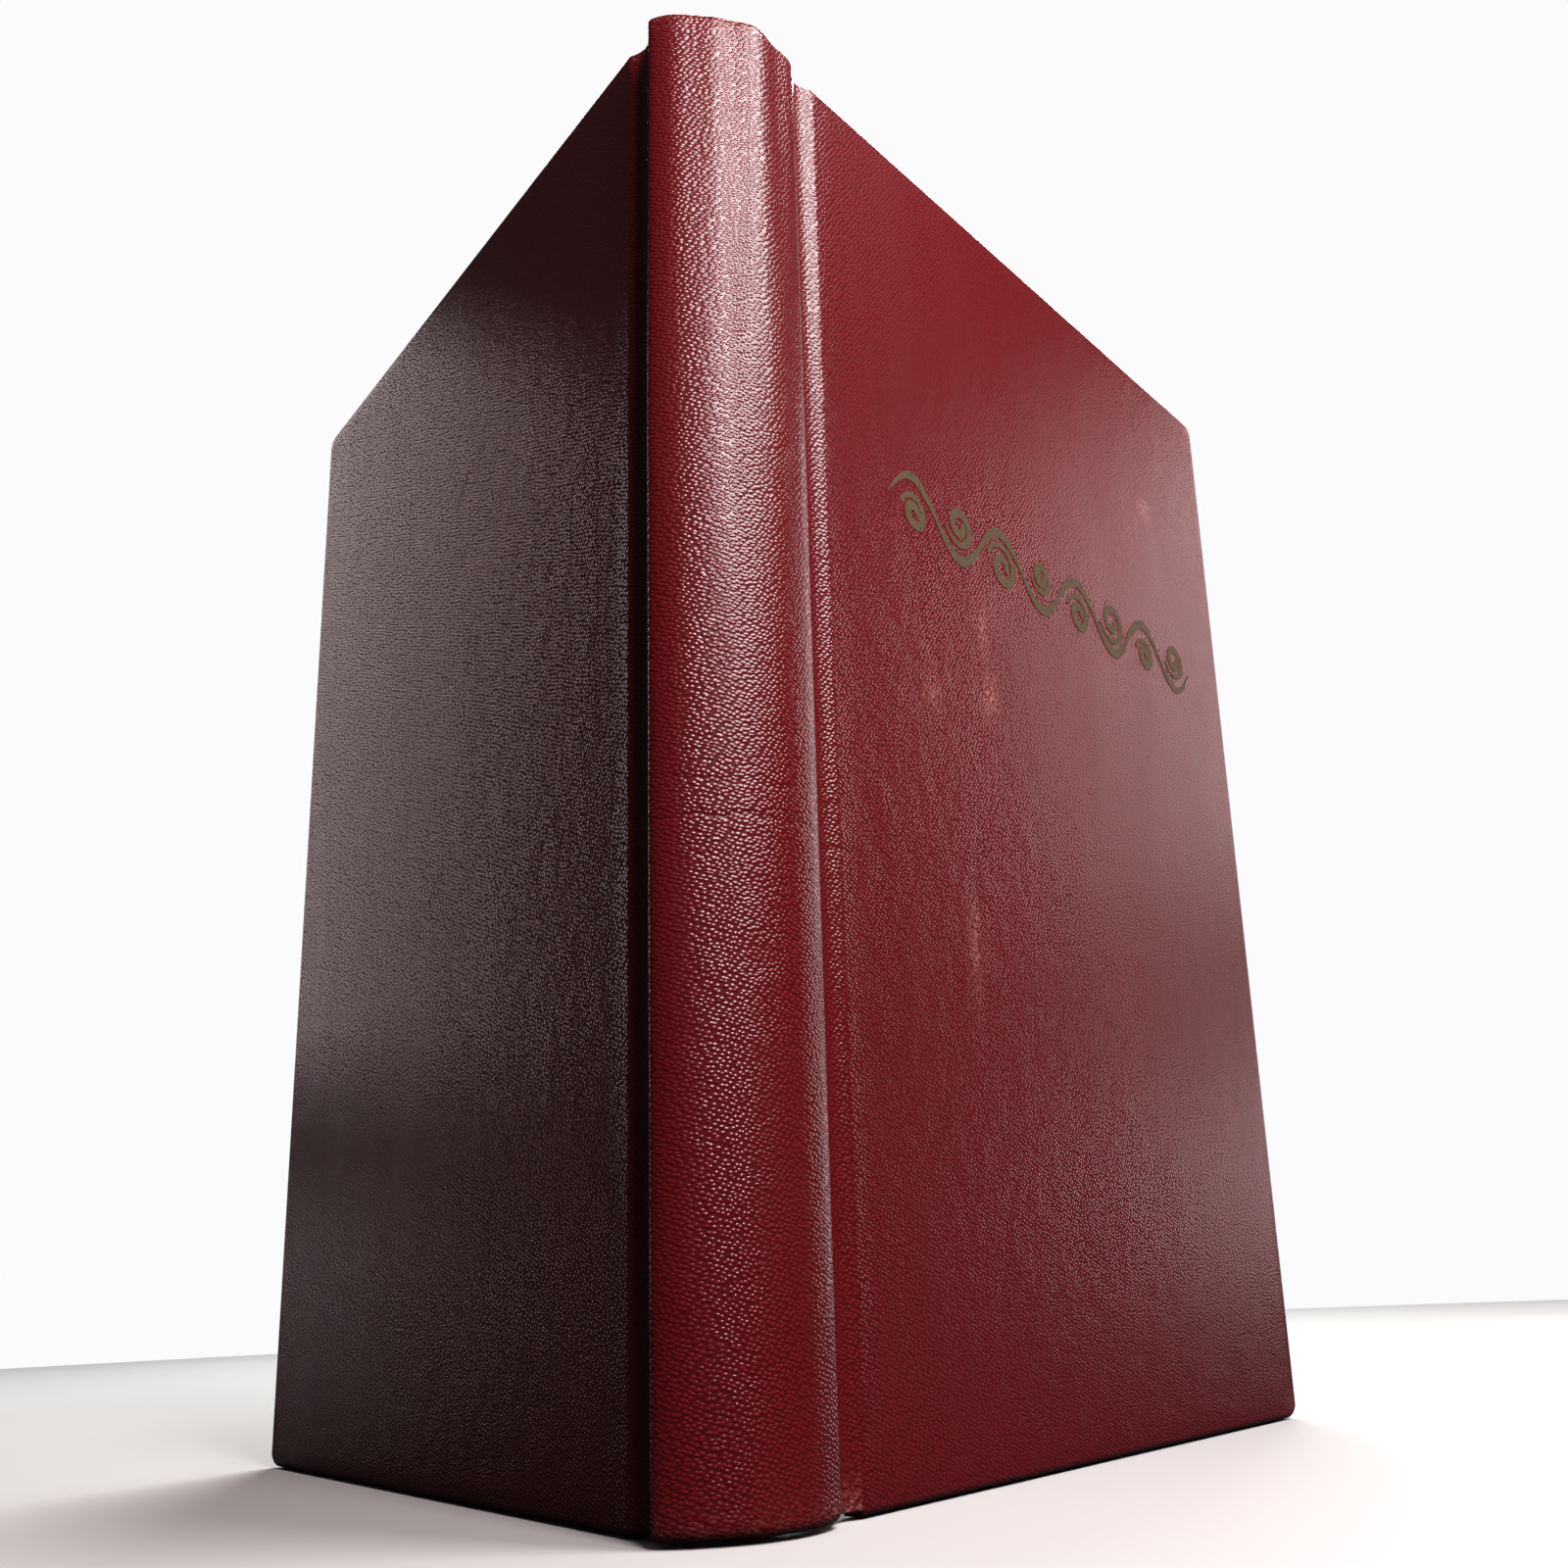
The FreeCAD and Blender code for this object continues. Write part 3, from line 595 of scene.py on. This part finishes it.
def case_cloth(side, path):
    """Part of the case: the cloth from the path's start to the side's fore edge, wrapped
    round its board."""
    opening = opening_of(side)
    kinds = [kind for _, kind, _ in path]
    points = [p for p, _, _ in path]
    first_cover = kinds.index("cover")
    edge_at = on_side(side, cover_point(opening, JOINT_WIDTH + COVER_WIDTH, 0))
    gone = 0.0
    rings, uvs, wear, pressed = [], [], [], []
    for i, (point, kind, off) in enumerate(path):
        if i:
            gone += (point - points[i - 1]).length
        before = points[max(0, i - 1)]
        after = points[min(len(points) - 1, i + 1)]
        inward = UP.cross(after - before).normalized() * (1 if side == "front" else -1)
        to_edge = (edge_at - point).length if kind == "cover" else 1.0
        into_cover = (i - first_cover) * FINE
        on_board = ease(-0.1 * MM, 0.3 * MM, into_cover) if i < first_cover + 20 else 1.0
        off_spine = ease(0.0, JOINT_TAPER, off)
        thickness = SPINE_THICKNESS + (JOINT_THICKNESS - SPINE_THICKNESS) * off_spine
        thickness += (COVER_THICKNESS - thickness) * on_board
        end_gap = (SPINE_END_GAP + (JOINT_END_GAP - SPINE_END_GAP) * off_spine) * (1 - on_board)
        rim_out = SPINE_RIM + (JOINT_RIM - SPINE_RIM) * off_spine
        rim_out += (COVER_RIM - rim_out) * on_board
        start = round_in(COVER_RIM, to_edge)
        depth = thickness - round_in(RIM_IN, to_edge)
        rim_out = min(rim_out, depth - start - RIM_IN)
        low = end_gap + round_in(CORNER_RADIUS, to_edge)
        ring, run = case_ring(point, inward, depth, start, low, COVER_HEIGHT - low,
                              rim_out, RIM_IN)
        ring = [settle_spine(p) for p in ring]
        rings.append([BLOCK @ p for p in ring])
        along = (point - points[first_cover]).length
        wear += [wear_at(side, kind, along, to_edge, p.x, p.z) for p in ring]
        pressed += [ease(0.0, 5.0 * MM, along) if kind == "cover" else 0.0] * len(ring)
        uvs.append((gone if side == "front" else -gone, run))
    piece = swept_piece(f"{side}_case_cloth", rings, uvs, {"wear": wear, "pressed": pressed})
    finish_piece(piece, CLOTH,
                 (f"{side}_cover_cloth", f"{side}_joint_cloth"))
    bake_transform(piece)
    return piece


# One cloth covers the whole case. It is made in two, because it bends at both joints: the
# front piece runs on over the spine and its back shoulder, into the back groove.
back_line = half_path("back")
parting = next(i for i, (_, _, off) in enumerate(back_line) if off > PARTING)
front_case = case_cloth("front", back_line[parting:0:-1] + half_path("front"))
case_cloth("back", back_line[parting:])
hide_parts("spine_cloth")


def inlay_strip():
    """The kraft-lined card inside the hollow spine, between the cloth's turned-in ends."""
    low, high = TURN_IN, COVER_HEIGHT - TURN_IN
    centre = Vector((0, SPINE_CENTRE, 0))
    levels = [low + (high - low) * n / 40 for n in range(41)]
    rings, uvs = [], []
    for n in range(61):
        angle = INLAY_HALF_ANGLE * (n / 30 - 1)
        out = Vector((math.sin(angle), -math.cos(angle), 0))
        ring = [centre + out * INLAY_RADIUS + UP * z for z in levels]
        inner = centre + out * (INLAY_RADIUS - INLAY_THICKNESS)
        ring += [inner + UP * z for z in reversed(levels)]
        rings.append([BLOCK @ settle_spine(p) for p in ring])
        uvs.append((angle * INLAY_RADIUS, [0.0] * (len(ring) + 1)))
    piece = swept_piece("spine_inlay_card", rings, uvs)
    finish_piece(piece, KRAFT, ("spine_inlay",))
    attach(piece, "block")


inlay_strip()


def endpaper_strip(side):
    """The endpaper from the pastedown across the joint to the flyleaf's fold."""
    opening = opening_of(side)
    glued = cover_point(opening, JOINT_WIDTH, PASTEDOWN_DEPTH)
    x, y, _ = JOINTS[f"{side}_flyleaf_turn"]["pos_m"]
    fold = BLOCK.inverted() @ Vector((x, y, 0))
    fold.x = abs(fold.x)
    run = glued - fold
    out = -UP.cross(run).normalized()
    low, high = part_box(f"{side}_pastedown")[0].z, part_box(f"{side}_pastedown")[1].z
    rings, uvs = [], []
    clear = ENDPAPER_FOLD_GAP / run.length
    for n in range(25):
        share = clear + (1 - clear) * n / 24
        point = fold + run * share + out * ENDPAPER_SAG * math.sin(math.pi * share)
        ring = [point + UP * low, point + UP * high]
        ring += [p + out * -ENDPAPER_THICKNESS for p in reversed(ring)]
        rings.append([BLOCK @ on_side(side, p) for p in ring])
        uvs.append((run.length * share, [0.0] * 5))
    piece = swept_piece(f"{side}_endpaper_hinge", rings, uvs)
    finish_piece(piece, ENDPAPER, (f"{side}_endpaper_joint",))
    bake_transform(piece)


endpaper_strip("front")
endpaper_strip("back")

# ------------------------------------------------------------------ leaves


def fold_axis(place):
    across = (place - 0.5) * SECTION_PITCH
    tip = SPINE_CENTRE - math.sqrt(FOLD_RADIUS ** 2 - across ** 2)
    return Vector((across, tip + SECTION_THICKNESS / 2, 0))


def one_leaf(name, width, thickness):
    """A single leaf, closed, lying along Y from its fold."""
    bpy.ops.mesh.primitive_cube_add(size=1)
    leaf = bpy.context.object
    leaf.name = name
    bpy.ops.object.mode_set(mode="EDIT")
    bpy.ops.mesh.select_all(action="SELECT")
    bpy.ops.transform.resize(value=(thickness, width, LEAF_HIGH - LEAF_LOW))
    bpy.ops.mesh.subdivide(number_cuts=15)
    bpy.ops.mesh.select_all(action="SELECT")
    bpy.ops.mesh.remove_doubles(threshold=1e-7)
    bpy.ops.object.mode_set(mode="OBJECT")
    for vertex in leaf.data.vertices:
        vertex.co.y += width / 2
        vertex.co.z += (LEAF_HIGH + LEAF_LOW) / 2
    leaf.select_set(False)
    return leaf


def section_leaves(side, place):
    """The leaves of one section, side by side, each a little different in width. Their inner
    ends follow the half round of the fold."""
    opening = opening_of(side)
    axis = fold_axis(place)
    number = 5 + place if side == "front" else 6 - place
    name = f"section_{number:02d}"
    parts = []
    spacing = SECTION_THICKNESS / LEAVES_PER_SECTION
    for n in range(LEAVES_PER_SECTION):
        width = LEAF_WIDTH - LEAF_TRIM - random.uniform(0, 0.12) * MM
        leaf = one_leaf(f"{name}_leaf_{n}", width, spacing * 0.86)
        offset = (n + 0.5) * spacing - SECTION_THICKNESS / 2
        back = SECTION_THICKNESS / 2 - math.sqrt((SECTION_THICKNESS / 2) ** 2 - offset ** 2)
        for vertex in leaf.data.vertices:
            vertex.co.x += offset
            vertex.co.y += back - SECTION_THICKNESS / 2
        parts.append(leaf)
    for part in parts:
        part.select_set(True)
    bpy.context.view_layer.objects.active = parts[0]
    bpy.ops.object.join()
    section = bpy.context.object
    section.name = f"{name}_leaves"
    section.select_set(False)
    lie = Matrix.Translation(axis) @ Matrix.Rotation(-SECTION_RATIOS[place] * opening, 4, "Z")
    for vertex in section.data.vertices:
        vertex.co = BLOCK @ on_side(side, lie @ vertex.co)
    if side == "back":
        section.data.flip_normals()
    finish_piece(section, PAGE, (name,))
    for face in section.data.polygons:
        face.use_smooth = False
    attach(section, "block" if place == 1 else name)


def flyleaf(side):
    """The free half of the endpaper."""
    opening = opening_of(side)
    x, y, _ = JOINTS[f"{side}_flyleaf_turn"]["pos_m"]
    local = BLOCK.inverted() @ Vector((x, y, 0))
    axis = Vector((abs(local.x), local.y, 0))
    width = LEAF_WIDTH - FLYLEAF_TRIM
    leaf = one_leaf(f"{side}_flyleaf_sheet", width, ENDPAPER_THICKNESS)
    lie = Matrix.Translation(axis) @ Matrix.Rotation(-FLYLEAF_RATIO * opening, 4, "Z")
    for vertex in leaf.data.vertices:
        vertex.co = BLOCK @ on_side(side, lie @ vertex.co)
    if side == "back":
        leaf.data.flip_normals()
    finish_piece(leaf, ENDPAPER, (f"{side}_flyleaf",))
    for face in leaf.data.polygons:
        face.use_smooth = False
    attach(leaf, f"{side}_flyleaf")


for half in ("front", "back"):
    for place in range(1, 6):
        section_leaves(half, place)
    flyleaf(half)

# ------------------------------------------------------------------ headbands


def headband(node):
    """A wound silk bead over the ends of the folds."""
    low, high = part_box(node)
    level = (low.z + high.z) / 2
    radius = (high.z - low.z) / 2
    centre = Vector((0, SPINE_CENTRE, 0))
    rings, uvs = [], []
    count = 72
    for n in range(count + 1):
        angle = -HEADBAND_HALF_ANGLE + 2 * HEADBAND_HALF_ANGLE * n / count
        out = Vector((math.sin(angle), -math.cos(angle), 0))
        swell = radius * (1 + 0.06 * math.cos(n * math.pi))
        ring, run = [], [0.0]
        for k in range(14):
            a = 2 * math.pi * k / 14
            ring.append(BLOCK @ (centre + out * (HEADBAND_RADIUS + swell * math.cos(a))
                                 + UP * (level + swell * math.sin(a))))
            run.append(2 * math.pi * radius * (k + 1) / 14)
        rings.append(ring)
        uvs.append((angle * HEADBAND_RADIUS, run))
    piece = swept_piece(f"{node}_silk", rings, uvs)
    finish_piece(piece, SILK, (node,))
    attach(piece, "block")


headband("headband")
headband("tailband")

# ------------------------------------------------------------------ gilt flourish


def scroll_stem(length, waves, tall):
    """The running stem of the scroll: a wave that swells and thins like a pen stroke."""
    steps = 30 * waves
    line = []
    for n in range(steps + 1):
        share = n / steps
        swing = math.sin(math.pi * waves * share)
        fade = min(1.0, 8 * share + 0.3, 8 * (1 - share) + 0.3)
        line.append((length * share, tall * swing, (0.7 + 0.8 * abs(swing)) * fade * MM))
    return line


def scroll_curl(start_x, upward, size):
    """A curl that leaves the stem and winds in to a bud."""
    steps = 64
    turns = 1.55
    line = []
    for n in range(steps + 1):
        share = n / steps
        a = math.pi * 0.92 - 2 * math.pi * turns * share
        radius = size * (1 - 0.78 * share ** 0.8)
        x = start_x + radius * math.cos(a)
        z = radius * math.sin(a) * 0.95
        width = (0.55 + 0.75 * math.sin(math.pi * share) + 0.9 * share ** 6) * MM
        line.append((x, upward * z, width))
    return line


def flourish():
    """A running scroll of stem and curls, pressed in gold."""
    opening = opening_of("front")
    low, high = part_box("front_scroll")
    start = JOINT_WIDTH + 13.0 * MM
    length = 86.0 * MM
    waves = 8
    middle = (low.z + high.z) / 2 + 1.5 * MM
    lines = [scroll_stem(length, waves, 3.9 * MM)]
    for n in range(waves):
        upward = 1 if n % 2 == 0 else -1
        size = (2.9 + 0.5 * (n % 3)) * MM
        curl = scroll_curl(length * (n + 0.52) / waves, upward, size)
        lines.append([(x, z - upward * 1.1 * MM, width) for x, z, width in curl])
    mesh = bmesh.new()
    for line in lines:
        rows = []
        for n, (x, z, width) in enumerate(line):
            ax, az, _ = line[max(0, n - 1)]
            bx, bz, _ = line[min(len(line) - 1, n + 1)]
            heading = math.atan2(bz - az, bx - ax)
            side_x, side_z = -math.sin(heading) * width / 2, math.cos(heading) * width / 2
            row = []
            for sign, lift in ((1, 0.0), (1, 0.05), (-1, 0.05), (-1, 0.0)):
                along = start + x + sign * side_x
                point = cover_point(opening, along, (0.01 - lift) * MM)
                row.append(mesh.verts.new(BLOCK @ (point + UP * (middle + z + sign * side_z))))
            rows.append(row)
        for a, b in zip(rows, rows[1:]):
            for k in range(4):
                mesh.faces.new((a[k], a[(k + 1) % 4], b[(k + 1) % 4], b[k]))
        mesh.faces.new(rows[0])
        mesh.faces.new(rows[-1][::-1])
    bmesh.ops.recalc_face_normals(mesh, faces=mesh.faces[:])
    data = bpy.data.meshes.new("gilt_flourish")
    mesh.to_mesh(data)
    mesh.free()
    piece = bpy.data.objects.new("gilt_flourish", data)
    bpy.context.scene.collection.objects.link(piece)
    finish_piece(piece, GILT, ("front_scroll",))
    for face in piece.data.polygons:
        face.use_smooth = False
    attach(piece, "front_cover")


flourish()

# ------------------------------------------------------------------ finishes of the frame

for name, node in frame["nodes"].items():
    for word, material in CAD_FINISHES.items():
        if word in name:
            node.data.materials.clear()
            node.data.materials.append(material)
            break

# ------------------------------------------------------------------ floor, light, camera


def stage_floor():
    """A pale round table top. It throws little light back, as if flagged off the book."""
    bpy.ops.mesh.primitive_circle_add(vertices=128, radius=0.75, fill_type="NGON",
                                      location=(0, 0, -0.0002))
    floor = bpy.context.object
    floor.name = "studio_floor"
    material, tree, shader = new_material("pale_studio_floor", "#e6e5e3", 0.9)
    flag = add(tree, "ShaderNodeBsdfDiffuse", {"Color": srgb("#303030")})
    seen = add(tree, "ShaderNodeLightPath").outputs["Is Camera Ray"]
    both = add(tree, "ShaderNodeMixShader", {0: seen, 1: flag.outputs[0], 2: shader.outputs[0]})
    tree.links.new(both.outputs[0], tree.nodes["Material Output"].inputs["Surface"])
    floor.data.materials.append(material)


def soft_light(name, direction, distance, width, height, power, colour="#ffffff"):
    """A rectangular light that faces the book's middle. The camera doesn't see it."""
    data = bpy.data.lights.new(name, "AREA")
    data.shape = "RECTANGLE"
    data.size, data.size_y = width, height
    data.energy = power
    data.color = srgb(colour)[:3]
    lamp = bpy.data.objects.new(name, data)
    lamp.visible_camera = False
    outwards = Vector(direction).normalized()
    lamp.location = BOOK_MIDDLE + outwards * distance
    lamp.rotation_euler = outwards.to_track_quat("Z", "Y").to_euler()
    bpy.context.scene.collection.objects.link(lamp)


def studio_world():
    """A dim room round the book, with a white backdrop behind it for the camera. The plain
    view transform keeps the cloth's depth of colour."""
    world = bpy.data.worlds.new("studio")
    bpy.context.scene.world = world
    bpy.context.scene.view_settings.view_transform = "Standard"
    world.use_nodes = True
    tree = world.node_tree
    room = tree.nodes["Background"]
    room.inputs["Color"].default_value = srgb("#d6cdd2")
    room.inputs["Strength"].default_value = 0.035
    backdrop = add(tree, "ShaderNodeBackground", {"Color": srgb("#fbfbfb"), "Strength": 1.0})
    seen = add(tree, "ShaderNodeLightPath").outputs["Is Camera Ray"]
    both = add(tree, "ShaderNodeMixShader", {0: seen, 1: room.outputs[0], 2: backdrop.outputs[0]})
    tree.links.new(both.outputs[0], tree.nodes["World Output"].inputs["Surface"])


def camera():
    """A close, low camera in front of the spine, looking up at the head."""
    near_edge = cover_point(opening_of("back"), JOINT_WIDTH, 0)
    near_edge = BLOCK @ on_side("back", near_edge)
    yaw = math.radians(-0.65)
    from_edge = Matrix.Rotation(yaw, 4, "Z") @ Vector((24.87, -164.59, 0)) * MM
    data = bpy.data.cameras.new("camera")
    data.lens = 37.87
    data.sensor_width = 36.0
    data.shift_x = -0.0537
    data.clip_start = 0.01
    view = bpy.data.objects.new("camera", data)
    pitch = math.radians(90 + 16.88)
    roll = math.radians(-2.47)
    aim = Euler((pitch, 0, yaw)).to_matrix().to_4x4() @ Matrix.Rotation(roll, 4, "Z")
    view.matrix_world = Matrix.Translation(near_edge + from_edge + UP * 21.4 * MM) @ aim
    bpy.context.scene.collection.objects.link(view)
    bpy.context.scene.camera = view


stage_floor()
studio_world()
# Each light: direction from the book's middle, then distance, width and height in metres,
# power in watts and tint. The wall lights graze the covers and fade from fore edge to joint.
BOOK_MIDDLE = Vector((0, -0.03, 0.09))
soft_light("key_high_right", (0.60, -0.30, 0.74), 0.31, 0.14, 0.14, 0.85)
soft_light("front_window", (0.33, -0.72, 0.62), 0.34, 0.09, 0.17, 1.05, "#fff0f2")
soft_light("right_wall_high", (0.65, 0.69, 0.36), 0.586, 0.107, 0.245, 0.235, "#ffecec")
soft_light("right_wall_low", (0.68, 0.73, -0.04), 0.553, 0.10, 0.10, 0.085, "#ffecec")
soft_light("left_wall_high", (-0.65, 0.69, 0.33), 0.255, 0.018, 0.20, 0.028, "#ffe6e8")
soft_light("left_wall_low", (-0.66, 0.74, -0.03), 1.2, 0.20, 0.06, 0.05, "#ffe6e8")
soft_light("back_fill", (0.05, 0.72, 0.66), 0.9, 0.50, 0.40, 8.0)
camera()
